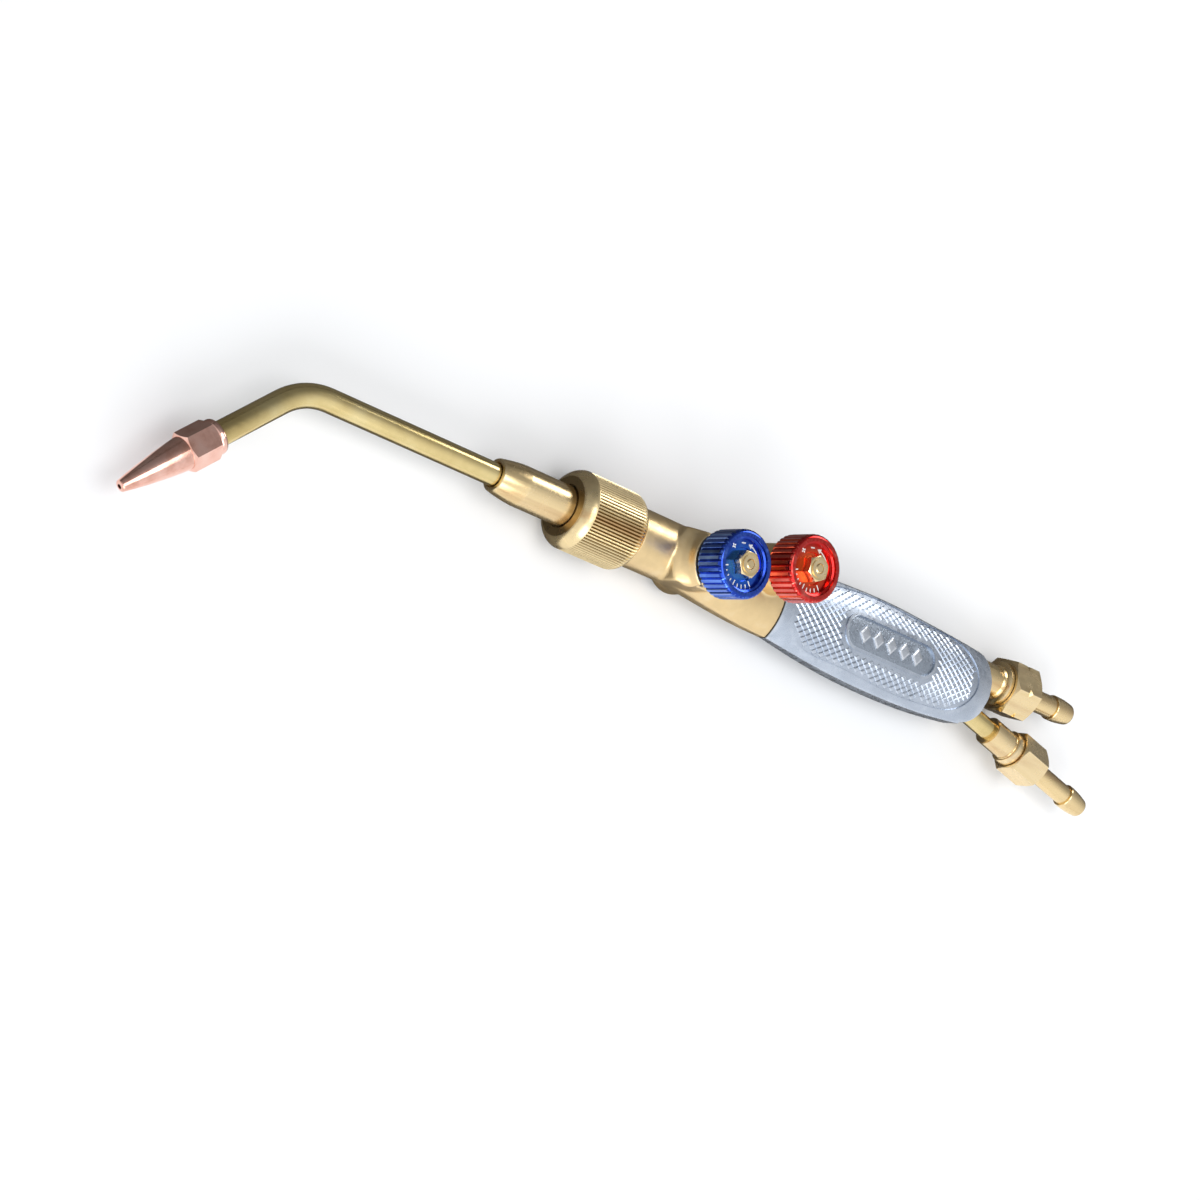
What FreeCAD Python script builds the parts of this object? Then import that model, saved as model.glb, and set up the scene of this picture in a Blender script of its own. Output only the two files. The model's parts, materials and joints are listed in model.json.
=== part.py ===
import FreeCAD, Part
import math
import os
from FreeCAD import Vector

# Hand torch for lampwork, in millimetres. The gas path runs along X towards the flame, the two
# valve spindles stand along +Z, and the neck bends towards +Y. All stations below are measured
# from the point where the oxygen valve's plane crosses the torch's long axis. Just before the
# files are written, the whole torch is shifted so that its origin is the middle of its underside.

# ---- driving dimensions -------------------------------------------------------------------
RUNNING_GAP = 0.05           # radial clearance of turning and sliding fits
FACE_GAP = 0.10              # gap between faces that are tightened together

# valve body
BODY_RADIUS = 11.8           # round front of the forging
BODY_FRONT_X = 33.0          # where the round front meets the union thread
NOSE_END_X = 46.0
UNION_THREAD_RADIUS = 11.5
UNION_THREAD_LENGTH = 9.0
NOSE_PILOT_RADIUS = 10.9
SOCKET_RADIUS = 7.0          # bore that takes the mixer
SOCKET_FLOOR_X = 14.0
SEAT_MOUTH_RADIUS = 8.6
INJECTOR_POCKET_RADIUS = 3.6
INJECTOR_POCKET_X = 10.0
BODY_REAR_X = -44.4          # joint line between body and handle
SPIGOT_END_X = -54.0

# valves: (x, y) of each spindle, and (radius, z) of the lower end of its boss
OXYGEN_VALVE = (0.0, 1.1)
FUEL_VALVE = (-33.8, -8.6)
OXYGEN_BOSS_END = (11.4, -12.0)
FUEL_BOSS_END = (10.4, -9.6)
BOSS_TOP_RADIUS = 9.9
BOSS_TOP_Z = 17.0
BOSS_EDGE_FILLET = 3.0
SHOULDER_RADIUS = 17.6       # forged shoulder in front of the oxygen boss, from the valve's axis
SHOULDER_TOP_RADIUS = 12.6
SHOULDER_RIM_Z = 11.6
SHOULDER_SIDES = (-9.4, 12.0)        # its flat sides, as y
VALVE_SEAT_RADIUS = 1.25
VALVE_CHAMBER_RADIUS = 3.2
VALVE_CHAMBER_TOP_Z = 10.2
GLAND_BORE_RADIUS = 5.0
PACKING_TOP_Z = 12.8
STEM_RADIUS = 2.7
GLAND_HEX_FLATS = 13.0
GLAND_HEAD_TOP_Z = 18.9

# knobs
KNOB_RADIUS = 13.15
KNOB_RIBS = 36
KNOB_RIB_DEPTH = 0.85
KNOB_BOTTOM_Z = 19.5
KNOB_TOP_Z = 33.2
KNOB_DISH_RADIUS = 10.5
KNOB_DISH_FLOOR_Z = 30.6
KNOB_WELL_RADIUS = 6.4       # shallow well round the nut
KNOB_WELL_FLOOR_Z = 29.9
KNOB_NUT_FLATS = 9.2
KNOB_NUT_TOP_Z = 35.3
SPINDLE_THREAD_RADIUS = 2.0

# union nut
UNION_NUT_START_X = 33.6
UNION_NUT_END_X = 64.2
UNION_NUT_RADIUS = 15.4      # over the knurl
UNION_NUT_TEETH = 76
UNION_TOOTH_DEPTH = 0.55
UNION_NUT_FACE_RADIUS = 11.8
UNION_NUT_HOLE_RADIUS = 8.5
UNION_SHOULDER_X = 55.1
RING_GROOVE_X = 58.0         # retaining ring between the nut and the mixer sleeve
RING_THICKNESS = 1.4
RING_INNER_RADIUS = 7.15
RING_OUTER_RADIUS = 9.4
RING_SPLIT_DEG = 24.0

# mixer sleeve and injector
SLEEVE_RADIUS = 7.9
SLEEVE_END_X = 97.6
SLEEVE_RIM_RADIUS = 6.3
SLEEVE_TAPER_X = 86.0
COLLAR_RADIUS = 10.6

# neck and tip
NECK_RADIUS = 4.45
NECK_BORE_RADIUS = 3.2
NECK_START_X = 84.5
BEND_X = 183.1
BEND_DEG = 44.3
BEND_RADIUS = 26.0
TIP_REACH = 79.8             # bend corner to the flame end
TIP_COLLAR_LENGTH = 2.6
TIP_HEX_LENGTH = 12.0
TIP_CONE_LENGTH = 26.6
TIP_HEX_FLATS = 13.0
TIP_HEX_TURN_DEG = 8.0
TIP_SOCKET_DEPTH = 12.4
TIP_ORIFICE_RADIUS = 0.9

# handle: (x, middle y, half width, half height of the upright side, half height of the crown)
HANDLE_STATIONS = [
    (-44.4, 0.2, 15.6, 1.9, 8.4),
    (-61.0, 0.7, 17.0, 2.9, 8.6),
    (-80.0, 1.1, 18.3, 3.7, 8.8),
    (-103.0, 1.3, 18.9, 4.2, 8.9),
    (-125.0, 1.6, 18.3, 4.4, 8.9),
    (-146.0, 1.4, 16.9, 4.4, 8.8),
    (-165.0, 1.0, 14.7, 4.3, 8.5),
]
HANDLE_CORNER = 1.3
HANDLE_END_X = -164.0
HANDLE_WALL = 2.4
HANDLE_END_WALL = 4.0
HANDLE_END_CORNERS = (9.0, 6.0)      # plan radius of the rear corners, +Y side and -Y side
GRIP_DEPTH = 0.45                    # sunk field that the knurling fills
PLATE_CENTRE = (-105.0, -0.3)
PLATE_LENGTH = 53.0
PLATE_WIDTH = 15.4
PLATE_RIM = 1.3
PLATE_DEPTH = 0.9
HANDLE_SCREW = (-49.6, -0.4)         # (x, y) of the screw below the joint
SCREW_HEAD_RADIUS = 2.7

# gas lines behind the handle
FUEL_LINE_Y = -6.6
OXYGEN_LINE_Y = 5.0
OXYGEN_LINE_BEND_X = -142.0
OXYGEN_LINE_DEG = 13.7
OXYGEN_BEND_RADIUS = 40.0
FUEL_TUBE_RADIUS = 4.0
OXYGEN_TUBE_RADIUS = 4.4
TUBE_WALL = 1.0

X_AXIS = Vector(1, 0, 0)
Z_AXIS = Vector(0, 0, 1)


# ---- shape helpers --------------------------------------------------------------------------
def rotation_to(direction, turn_deg=0.0):
    """Rotation that takes local X to direction and keeps local Y level, after a turn about X."""
    direction = Vector(*direction).normalize()
    level = Vector(0, 1, 0) if abs(direction.z) > 0.9 else Z_AXIS.cross(direction).normalize()
    frame = FreeCAD.Rotation(direction, level, direction.cross(level), "XYZ")
    return frame.multiply(FreeCAD.Rotation(X_AXIS, turn_deg))


def place(shape, base, direction, turn_deg=0.0):
    """Moves a shape drawn along local X to its base point and direction."""
    shape.Placement = FreeCAD.Placement(Vector(*base), rotation_to(direction, turn_deg))
    return shape


def turned(outline, base=(0, 0, 0), direction=(1, 0, 0)):
    """Solid of revolution. outline holds (station, radius) corners of the closed half section;
    an entry of four numbers is an arc: middle station and radius, then end station and radius."""
    corners = [Vector(entry[-2], 0, entry[-1]) for entry in outline]
    edges = []
    for index, entry in enumerate(outline[1:] + outline[:1]):
        start, end = corners[index], corners[(index + 1) % len(corners)]
        if len(entry) == 4:
            edges.append(Part.Arc(start, Vector(entry[0], 0, entry[1]), end).toShape())
        else:
            edges.append(Part.makeLine(start, end))
    solid = Part.Face(Part.Wire(edges)).revolve(Vector(0, 0, 0), X_AXIS, 360)
    return place(solid, base, direction)


def rod(start, end, radius):
    """Round rod, or the drill that makes a round hole, between two points."""
    start, end = Vector(*start), Vector(*end)
    return Part.makeCylinder(radius, (end - start).Length, start, end - start)


def hexagon(across_flats, start, end, base=(0, 0, 0), direction=(1, 0, 0), turn_deg=0.0,
            chamfers=(True, True), chamfer_radius=None):
    """Hexagonal prism between two stations, its corners turned off at the chosen ends."""
    corner = across_flats / math.sqrt(3)
    points = [Vector(start, corner * math.sin(math.radians(60 * k)),
                     corner * math.cos(math.radians(60 * k))) for k in range(7)]
    prism = Part.Face(Part.makePolygon(points)).extrude(Vector(end - start, 0, 0))
    face_radius = chamfer_radius or across_flats / 2 * 0.98
    drop = (corner - face_radius) * math.tan(math.radians(30)) + 0.001
    low = (start, face_radius), (start + drop, corner)
    high = (end - drop, corner), (end, face_radius)
    over = corner + 1
    outline = [(start, 0)]
    outline += list(low) if chamfers[0] else [(start, over), (start + drop, over)]
    outline += list(high) if chamfers[1] else [(end - drop, over), (end, over)]
    outline.append((end, 0))
    return place(prism.common(turned(outline)), base, direction, turn_deg)


def ribbed(radius, depth, count, start, end, flat_share=0.3):
    """Toothed rod along X: count straight teeth with flat crests and V-shaped valleys."""
    step = 2 * math.pi / count
    points = []
    for tooth in range(count):
        for share, r in ((0.0, radius), (flat_share, radius), ((1 + flat_share) / 2, radius - depth)):
            angle = (tooth + share) * step
            points.append(Vector(start, r * math.sin(angle), r * math.cos(angle)))
    points.append(points[0])
    return Part.Face(Part.makePolygon(points)).extrude(Vector(end - start, 0, 0))


def oval_section(x, middle_y, half_width, side_z, crown_z, corner):
    """Closed outline across X: crowned faces above and below, upright sides, rounded corners."""
    rise = crown_z - side_z
    crown_radius = (half_width ** 2 + rise ** 2) / (2 * rise)
    crown_centre = crown_z - crown_radius
    corner_y = half_width - corner
    corner_z = crown_centre + math.sqrt((crown_radius - corner) ** 2 - corner_y ** 2)
    lean = math.atan2(corner_z - crown_centre, corner_y)
    tangent = (corner_y + corner * math.cos(lean), corner_z + corner * math.sin(lean))
    middle = (corner_y + corner * math.cos(lean / 2), corner_z + corner * math.sin(lean / 2))

    def at(point, side_y, side_z_sign):
        return Vector(x, middle_y + side_y * point[0], side_z_sign * point[1])

    edges = []
    for sign in (1, -1):
        edges += [
            Part.Arc(at((half_width, corner_z), sign, sign), at(middle, sign, sign),
                     at(tangent, sign, sign)).toShape(),
            Part.Arc(at(tangent, sign, sign), at((0, crown_z), sign, sign),
                     at(tangent, -sign, sign)).toShape(),
            Part.Arc(at(tangent, -sign, sign), at(middle, -sign, sign),
                     at((half_width, corner_z), -sign, sign)).toShape(),
            Part.makeLine(at((half_width, corner_z), -sign, sign),
                          at((half_width, corner_z), -sign, -sign)),
        ]
    return Part.Wire(edges)


def slab(x_low, x_high):
    """Everything between two planes across X."""
    reach = 60
    return Part.makeBox(x_high - x_low, 2 * reach, 2 * reach, Vector(x_low, -reach, -reach))


def handle_form(inset=0.0):
    """The handle's outer form, or the same form drawn in by inset all round."""
    sections = [oval_section(x, y, width - inset, side - inset * 0.5, crown - inset,
                             HANDLE_CORNER)
                for x, y, width, side, crown in HANDLE_STATIONS]
    return Part.makeLoft(sections, True, False)


def plan_prism(wire):
    """Prism through the whole height of the handle over a closed outline drawn at z = 0."""
    height = 40
    return Part.Face(wire).extrude(Vector(0, 0, height)).translated(Vector(0, 0, -height / 2))


def pill(centre, length, width):
    """Closed outline at z = 0 with two straight sides along X and two round ends."""
    radius, straight = width / 2, (length - width) / 2
    x, y = centre
    return Part.Wire([
        Part.makeLine(Vector(x - straight, y - radius, 0), Vector(x + straight, y - radius, 0)),
        Part.Arc(Vector(x + straight, y - radius, 0), Vector(x + straight + radius, y, 0),
                 Vector(x + straight, y + radius, 0)).toShape(),
        Part.makeLine(Vector(x + straight, y + radius, 0), Vector(x - straight, y + radius, 0)),
        Part.Arc(Vector(x - straight, y + radius, 0), Vector(x - straight - radius, y, 0),
                 Vector(x - straight, y - radius, 0)).toShape(),
    ])


# ---- oxygen line: straight in the handle, then angled outwards ------------------------------
OXYGEN_DIRECTION = (-math.cos(math.radians(OXYGEN_LINE_DEG)),
                    math.sin(math.radians(OXYGEN_LINE_DEG)), 0)


def on_oxygen_line(distance):
    """Point on the angled run, at a distance from the bend's corner."""
    return (OXYGEN_LINE_BEND_X + distance * OXYGEN_DIRECTION[0],
            OXYGEN_LINE_Y + distance * OXYGEN_DIRECTION[1], 0)


OXYGEN_EXIT = (OXYGEN_LINE_BEND_X - HANDLE_END_X) / -OXYGEN_DIRECTION[0]
OXYGEN_BASE = on_oxygen_line(OXYGEN_EXIT)        # where the line leaves the handle
FUEL_BASE = (HANDLE_END_X, FUEL_LINE_Y, 0)
FUEL_DIRECTION = (-1, 0, 0)

# ---- hose ends: stations are measured outwards from the handle's rear face ------------------
FUEL_END = {
    "base": FUEL_BASE, "direction": FUEL_DIRECTION, "turn": 7.9, "notched": True,
    "tube_radius": FUEL_TUBE_RADIUS, "spigot_radius": 4.9, "spigot_start": -14.0,
    "body_radius": 6.9, "body_start": -1.6,
    "flare_start": 7.2, "collar_radius": 9.7, "collar_start": 11.2, "collar_end": 12.6,
    "thread_radius": 8.3, "thread_end": 21.6, "bore_radius": 3.0,
    "flats": 22.0, "nut_start": 12.9, "nut_end": 28.4,
    "flange_radius": 7.6, "stem_radius": 4.7, "barb_radius": 5.45, "barb_start": 46.2,
    "tail_end": 57.6, "tip_radius": 4.6, "tail_bore": 2.7,
}
OXYGEN_END = {
    "base": OXYGEN_BASE, "direction": OXYGEN_DIRECTION, "turn": -2.5, "notched": False,
    "tube_radius": OXYGEN_TUBE_RADIUS, "spigot_radius": 5.8, "spigot_start": 13.4,
    "body_radius": 6.2, "body_start": 13.8,
    "flare_start": 25.6, "collar_radius": 7.4, "collar_start": 26.4, "collar_end": 29.6,
    "thread_radius": 6.5, "thread_end": 38.2, "bore_radius": 2.6,
    "flats": 17.0, "nut_start": 30.0, "nut_end": 45.5,
    "flange_radius": 6.0, "stem_radius": 4.3, "barb_radius": 5.15, "barb_start": 68.0,
    "tail_end": 79.8, "tip_radius": 4.2, "tail_bore": 2.4,
}
SEAT_DEPTH = 1.6
FLANGE_THICKNESS = 2.2
SOCKET_DEPTH = 8.0
NOTCH_HALF_WIDTH = 1.3
NOTCH_DEPTH = 0.9


def connector(end):
    """Threaded outlet brazed on its tube, with a collar that the hose nut closes against."""
    tube = end["tube_radius"] + RUNNING_GAP
    bore, face = end["bore_radius"], end["thread_end"]
    flare_mid = ((end["flare_start"] * 2 + end["collar_start"]) / 3 + 0.6,
                 end["body_radius"] + (end["collar_radius"] - end["body_radius"]) * 0.25)
    return turned([
        (end["spigot_start"], tube), (end["spigot_start"], end["spigot_radius"]),
        (end["body_start"], end["spigot_radius"]), (end["body_start"], end["body_radius"]),
        (end["flare_start"], end["body_radius"]),
        (*flare_mid, end["collar_start"], end["collar_radius"] - 0.5),
        (end["collar_start"] + 0.5, end["collar_radius"]), (end["collar_end"], end["collar_radius"]),
        (end["collar_end"], end["thread_radius"]), (face - 0.8, end["thread_radius"]),
        (face, end["thread_radius"] - 0.8), (face, bore + SEAT_DEPTH),
        (face - SEAT_DEPTH, bore), (end["spigot_start"] + SOCKET_DEPTH, bore),
        (end["spigot_start"] + SOCKET_DEPTH, tube),
    ], end["base"], end["direction"])


def hose_tail(end):
    """Barbed hose tail: nipple and flange inside the nut, stem and barb outside it."""
    face = end["thread_end"] + FACE_GAP
    nipple = end["bore_radius"] + SEAT_DEPTH
    stem, barb, start = end["stem_radius"], end["barb_radius"], end["barb_start"]
    tail_end, tip = end["tail_end"], end["tip_radius"]
    return turned([
        (face - SEAT_DEPTH + FACE_GAP, end["tail_bore"]),
        (face - SEAT_DEPTH + FACE_GAP, nipple - SEAT_DEPTH + FACE_GAP),
        (face, nipple), (face, end["flange_radius"]),
        (face + FLANGE_THICKNESS, end["flange_radius"]), (face + FLANGE_THICKNESS, stem),
        (start, stem), (start, barb - 0.2), (start + 0.3, barb),
        ((start + tail_end) / 2, (barb + tip) / 2 + 0.25, tail_end - 1.0, tip),
        (tail_end - 0.3, tip - 0.4, tail_end, tip - 1.0), (tail_end, end["tail_bore"]),
    ], end["base"], end["direction"])


def hose_nut(end):
    """Hexagonal hose nut: threaded mouth, shoulder behind the tail's flange. The fuel gas nut has
    notched corners, the mark of a left-hand thread."""
    start, stop = end["nut_start"], end["nut_end"]
    shoulder = end["thread_end"] + FACE_GAP + FLANGE_THICKNESS + FACE_GAP
    thread = end["thread_radius"] + RUNNING_GAP
    mouth = end["collar_radius"] - 0.6
    hole = turned([
        (start - 1, 0), (start - 1, mouth), (start, mouth), (start + mouth - thread, thread),
        (shoulder, thread), (shoulder, end["stem_radius"] + RUNNING_GAP),
        (stop + 1, end["stem_radius"] + RUNNING_GAP), (stop + 1, 0),
    ], end["base"], end["direction"])
    blank = hexagon(end["flats"], start, stop, end["base"], end["direction"], end["turn"]).cut(hole)
    if not end["notched"]:
        return blank
    middle, corner = (start + stop) / 2, end["flats"] / math.sqrt(3)
    notch = turned([(middle - NOTCH_HALF_WIDTH, corner + 0.1), (middle, corner - NOTCH_DEPTH),
                    (middle + NOTCH_HALF_WIDTH, corner + 0.1)], end["base"], end["direction"])
    return blank.cut(notch)


# ---- valves ----------------------------------------------------------------------------------
def boss(valve, lower_end):
    """Upright tapered boss that carries one valve, rounded at its lower end."""
    x, y = valve
    r, z = lower_end
    f = BOSS_EDGE_FILLET
    lean = f * (1 - math.sqrt(0.5))
    return turned([
        (z, 0), (z, r - f), (z + lean, r - lean, z + f, r),
        (BOSS_TOP_Z - 0.5, BOSS_TOP_RADIUS), (BOSS_TOP_Z, BOSS_TOP_RADIUS - 0.5), (BOSS_TOP_Z, 0),
    ], (x, y, 0), Z_AXIS)


def boss_shoulder():
    """Sloping forged shoulder that carries the oxygen boss forwards onto the round front."""
    low_z, top_z = -1.0, BOSS_TOP_Z - 1.2
    cone = turned([(low_z, 0), (low_z, SHOULDER_RADIUS), (SHOULDER_RIM_Z, SHOULDER_RADIUS),
                   (top_z, SHOULDER_TOP_RADIUS), (top_z, 0)], (*OXYGEN_VALVE, 0), Z_AXIS)
    low_y, high_y = SHOULDER_SIDES
    return cone.common(Part.makeBox(SHOULDER_RADIUS + 1, high_y - low_y, BOSS_TOP_Z - low_z,
                                    Vector(0, low_y, low_z)))


def valve_drilling(valve):
    """Everything drilled from above into a boss: seat, chamber and gland bore."""
    x, y = valve
    seat_bottom = -5.5
    return turned([
        (seat_bottom, 0), (seat_bottom, VALVE_SEAT_RADIUS), (0, VALVE_SEAT_RADIUS),
        (0, VALVE_CHAMBER_RADIUS), (VALVE_CHAMBER_TOP_Z, VALVE_CHAMBER_RADIUS),
        (VALVE_CHAMBER_TOP_Z, GLAND_BORE_RADIUS), (BOSS_TOP_Z + 1, GLAND_BORE_RADIUS),
        (BOSS_TOP_Z + 1, 0),
    ], (x, y, 0), Z_AXIS)


NEEDLE_SHOULDER_Z = 1.0
NEEDLE_STEM_RADIUS = 1.5
NEEDLE_TOP_Z = 4.5
SPINDLE_BOTTOM_Z = 2.9
SPINDLE_SCREW_TOP_Z = 7.6


def valve_needle(valve):
    """Loose cone in the spindle's end: it rises and falls without turning on its seat."""
    x, y = valve
    return turned([
        (-1.2, 0), (-1.2, 0.45), (NEEDLE_SHOULDER_Z, 1.75), (SPINDLE_BOTTOM_Z - FACE_GAP, 1.75),
        (SPINDLE_BOTTOM_Z - FACE_GAP, NEEDLE_STEM_RADIUS), (NEEDLE_TOP_Z, NEEDLE_STEM_RADIUS),
        (NEEDLE_TOP_Z, 0),
    ], (x, y, 0), Z_AXIS)


def valve_spindle(valve):
    """Screwed spindle with a pocket for the needle, a plain stem and a threaded upper end."""
    x, y = valve
    pocket = NEEDLE_STEM_RADIUS + RUNNING_GAP
    screw = VALVE_CHAMBER_RADIUS - RUNNING_GAP
    upper, top = SPINDLE_THREAD_RADIUS, KNOB_NUT_TOP_Z + 0.3
    return turned([
        (SPINDLE_BOTTOM_Z, pocket), (SPINDLE_BOTTOM_Z, screw), (SPINDLE_SCREW_TOP_Z, screw),
        (SPINDLE_SCREW_TOP_Z, STEM_RADIUS), (KNOB_WELL_FLOOR_Z - 1.2, STEM_RADIUS),
        (KNOB_WELL_FLOOR_Z - 1.2, upper), (top - 0.5, upper), (top, upper - 0.5), (top, 0),
        (NEEDLE_TOP_Z + FACE_GAP, 0), (NEEDLE_TOP_Z + FACE_GAP, pocket),
    ], (x, y, 0), Z_AXIS)


def gland_packing(valve):
    """Plastic sealing ring round the stem, squeezed by the gland nut."""
    x, y = valve
    low = VALVE_CHAMBER_TOP_Z + 0.1
    inner, outer = STEM_RADIUS + RUNNING_GAP, GLAND_BORE_RADIUS - 0.05
    return turned([(low, inner), (low, outer), (PACKING_TOP_Z, outer), (PACKING_TOP_Z, inner)],
                  (x, y, 0), Z_AXIS)


def gland_nut(valve):
    """Nut screwed into the boss round the stem, its hexagon hidden under the knob."""
    x, y = valve
    head = hexagon(GLAND_HEX_FLATS, BOSS_TOP_Z, GLAND_HEAD_TOP_Z, (x, y, 0), Z_AXIS,
                   chamfers=(False, True))
    shank = rod((x, y, PACKING_TOP_Z + 0.1), (x, y, BOSS_TOP_Z), GLAND_BORE_RADIUS - 0.05)
    bore = rod((x, y, PACKING_TOP_Z), (x, y, GLAND_HEAD_TOP_Z + 1), STEM_RADIUS + RUNNING_GAP)
    return head.fuse(shank).removeSplitter().cut(bore)


def knob(valve):
    """Ribbed hand knob with a dished, stepped top round the nut."""
    x, y = valve
    low, top, r = KNOB_BOTTOM_Z, KNOB_TOP_Z, KNOB_RADIUS
    dish, floor, well = KNOB_DISH_RADIUS, KNOB_DISH_FLOOR_Z, KNOB_WELL_FLOOR_Z
    bore, step = STEM_RADIUS + 0.05, SPINDLE_THREAD_RADIUS + 0.05
    body = turned([
        (low, bore), (low, r - 1.4), (low + 1.1, r), (top - 1.5, r),
        (top - 0.6, r - 0.35, top, r - 1.4), (top, dish), (top - 0.9, dish - 0.15),
        (top - 1.2, dish - 0.9), (floor, dish - 1.2), (floor, KNOB_WELL_RADIUS),
        (well, KNOB_WELL_RADIUS - 0.3), (well, step), (well - 1.1, step), (well - 1.1, bore),
    ])
    ribs = ribbed(KNOB_RADIUS, KNOB_RIB_DEPTH, KNOB_RIBS, low - 1, top + 1, 0.5)
    return place(body.common(ribs), (x, y, 0), Z_AXIS)


def knob_nut(valve, turn_deg):
    """Hexagon nut that holds the knob, with a raised ring round the spindle's end."""
    x, y = valve
    low, top = KNOB_WELL_FLOOR_Z + 0.05, KNOB_NUT_TOP_Z
    ring_radius, ring_height = 3.5, 0.35
    nut = hexagon(KNOB_NUT_FLATS, low, top - ring_height, (x, y, 0), Z_AXIS, turn_deg,
                  chamfers=(False, True))
    ring = rod((x, y, low), (x, y, top), ring_radius)
    bore = rod((x, y, low - 1), (x, y, top + 1), SPINDLE_THREAD_RADIUS + 0.05)
    return nut.fuse(ring).cut(bore)


# ---- body, handle and tubes ------------------------------------------------------------------
def valve_body():
    """Brass forging: round front and union thread, two bosses, oval rear and handle spigot."""
    thread_end = BODY_FRONT_X + 1.0 + UNION_THREAD_LENGTH
    front = turned([
        (-6.0, 0), (-6.0, BODY_RADIUS - 1.0), (2.0, BODY_RADIUS), (BODY_FRONT_X, BODY_RADIUS),
        (BODY_FRONT_X, UNION_THREAD_RADIUS - 0.8), (BODY_FRONT_X + 1.0, UNION_THREAD_RADIUS - 0.8),
        (BODY_FRONT_X + 1.0, UNION_THREAD_RADIUS), (thread_end, UNION_THREAD_RADIUS),
        (thread_end, NOSE_PILOT_RADIUS), (NOSE_END_X - 0.8, NOSE_PILOT_RADIUS),
        (NOSE_END_X, NOSE_PILOT_RADIUS - 0.8), (NOSE_END_X, 0),
    ])
    rear_x, rear_y, rear_width, rear_side, rear_crown = HANDLE_STATIONS[0]
    waist = Part.makeLoft([
        oval_section(9.0, 0.2, 11.5, 3.4, 10.6, 6.5),
        oval_section(-8.0, 0.4, 13.2, 3.2, 10.2, 6.0),
        oval_section(-26.0, 0.4, 14.8, 2.6, 9.2, 3.0),
        oval_section(rear_x, rear_y, rear_width, rear_side, rear_crown, HANDLE_CORNER),
    ], True, False)
    spigot = handle_form(HANDLE_WALL + 0.1).common(slab(SPIGOT_END_X, BODY_REAR_X + 1.0))
    forging = front.multiFuse([waist, boss(OXYGEN_VALVE, OXYGEN_BOSS_END), boss_shoulder(),
                               boss(FUEL_VALVE, FUEL_BOSS_END)])
    body = forging.common(slab(BODY_REAR_X, NOSE_END_X + 1)).fuse(spigot)
    ox, oy = OXYGEN_VALVE
    fx, fy = FUEL_VALVE
    socket = turned([
        (INJECTOR_POCKET_X, 0), (INJECTOR_POCKET_X, INJECTOR_POCKET_RADIUS),
        (SOCKET_FLOOR_X, INJECTOR_POCKET_RADIUS), (SOCKET_FLOOR_X, SOCKET_RADIUS),
        (NOSE_END_X - SEAT_MOUTH_RADIUS + SOCKET_RADIUS, SOCKET_RADIUS),
        (NOSE_END_X, SEAT_MOUTH_RADIUS), (NOSE_END_X + 1, SEAT_MOUTH_RADIUS), (NOSE_END_X + 1, 0),
    ])
    tube_stop = SPIGOT_END_X + 6.0
    drillings = [
        socket, valve_drilling(OXYGEN_VALVE), valve_drilling(FUEL_VALVE),
        rod((SPIGOT_END_X - 1, FUEL_LINE_Y, 0), (tube_stop, FUEL_LINE_Y, 0), FUEL_TUBE_RADIUS + 0.05),
        rod((SPIGOT_END_X - 1, OXYGEN_LINE_Y, 0), (tube_stop, OXYGEN_LINE_Y, 0),
            OXYGEN_TUBE_RADIUS + 0.05),
        rod((tube_stop - 1, FUEL_LINE_Y, 0), (fx, fy, 3.6), 1.6),
        rod((tube_stop - 1, OXYGEN_LINE_Y, 0), (ox, oy + 1.0, 3.6), 1.6),
        rod((ox, oy, -4.2), (INJECTOR_POCKET_X + 1.5, 0, -0.5), 1.2),
        rod((fx, fy, -4.2), (SOCKET_FLOOR_X + 1.0, -5.2, -0.8), 1.5),
        rod((*HANDLE_SCREW, -20), (*HANDLE_SCREW, -2.0), 1.55),
    ]
    return body.cut(Part.makeCompound(drillings))


def grip_outline():
    """Rounded field on the handle's broad face that is knurled, as a closed outline at z = 0."""
    points = [(-50.2, 2.4), (-56.6, 12.4), (-79.6, 15.8), (-107.0, 17.2), (-135.0, 16.0),
              (-152.0, 10.6), (-157.4, -1.6), (-150.4, -12.0), (-130.0, -15.4),
              (-102.0, -16.6), (-76.0, -15.2), (-56.6, -8.6)]
    curve = Part.BSplineCurve()
    curve.interpolate([Vector(x, y, 0) for x, y in points], PeriodicFlag=True)
    return Part.Wire(curve.toShape())


def handle_plan():
    """Plan outline that rounds the handle's rear corners."""
    far_r, near_r = HANDLE_END_CORNERS
    x, front = HANDLE_END_X, 0.0
    y_high = HANDLE_STATIONS[-1][1] + HANDLE_STATIONS[-1][2]
    y_low = HANDLE_STATIONS[-1][1] - HANDLE_STATIONS[-1][2]
    wide, bow = 30.0, 1.2

    def corner(y_edge, radius, sign):
        swing = radius * (1 - math.sqrt(0.5))
        start = Vector(x + radius, y_edge + sign * 0.8, 0)
        middle = Vector(x + swing, y_edge - sign * swing, 0)
        end = Vector(x, y_edge - sign * radius, 0)
        return start, middle, end

    high, low = corner(y_high, far_r, 1), corner(y_low, near_r, -1)
    return Part.Wire([
        Part.makeLine(Vector(front, wide, 0), Vector(x + far_r, wide, 0)),
        Part.makeLine(Vector(x + far_r, wide, 0), high[0]),
        Part.Arc(*high).toShape(),
        Part.Arc(high[2], Vector(x - bow, (high[2].y + low[2].y) / 2, 0), low[2]).toShape(),
        Part.Arc(low[2], low[1], low[0]).toShape(),
        Part.makeLine(low[0], Vector(x + near_r, -wide, 0)),
        Part.makeLine(Vector(x + near_r, -wide, 0), Vector(front, -wide, 0)),
        Part.makeLine(Vector(front, -wide, 0), Vector(front, wide, 0)),
    ])


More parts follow.
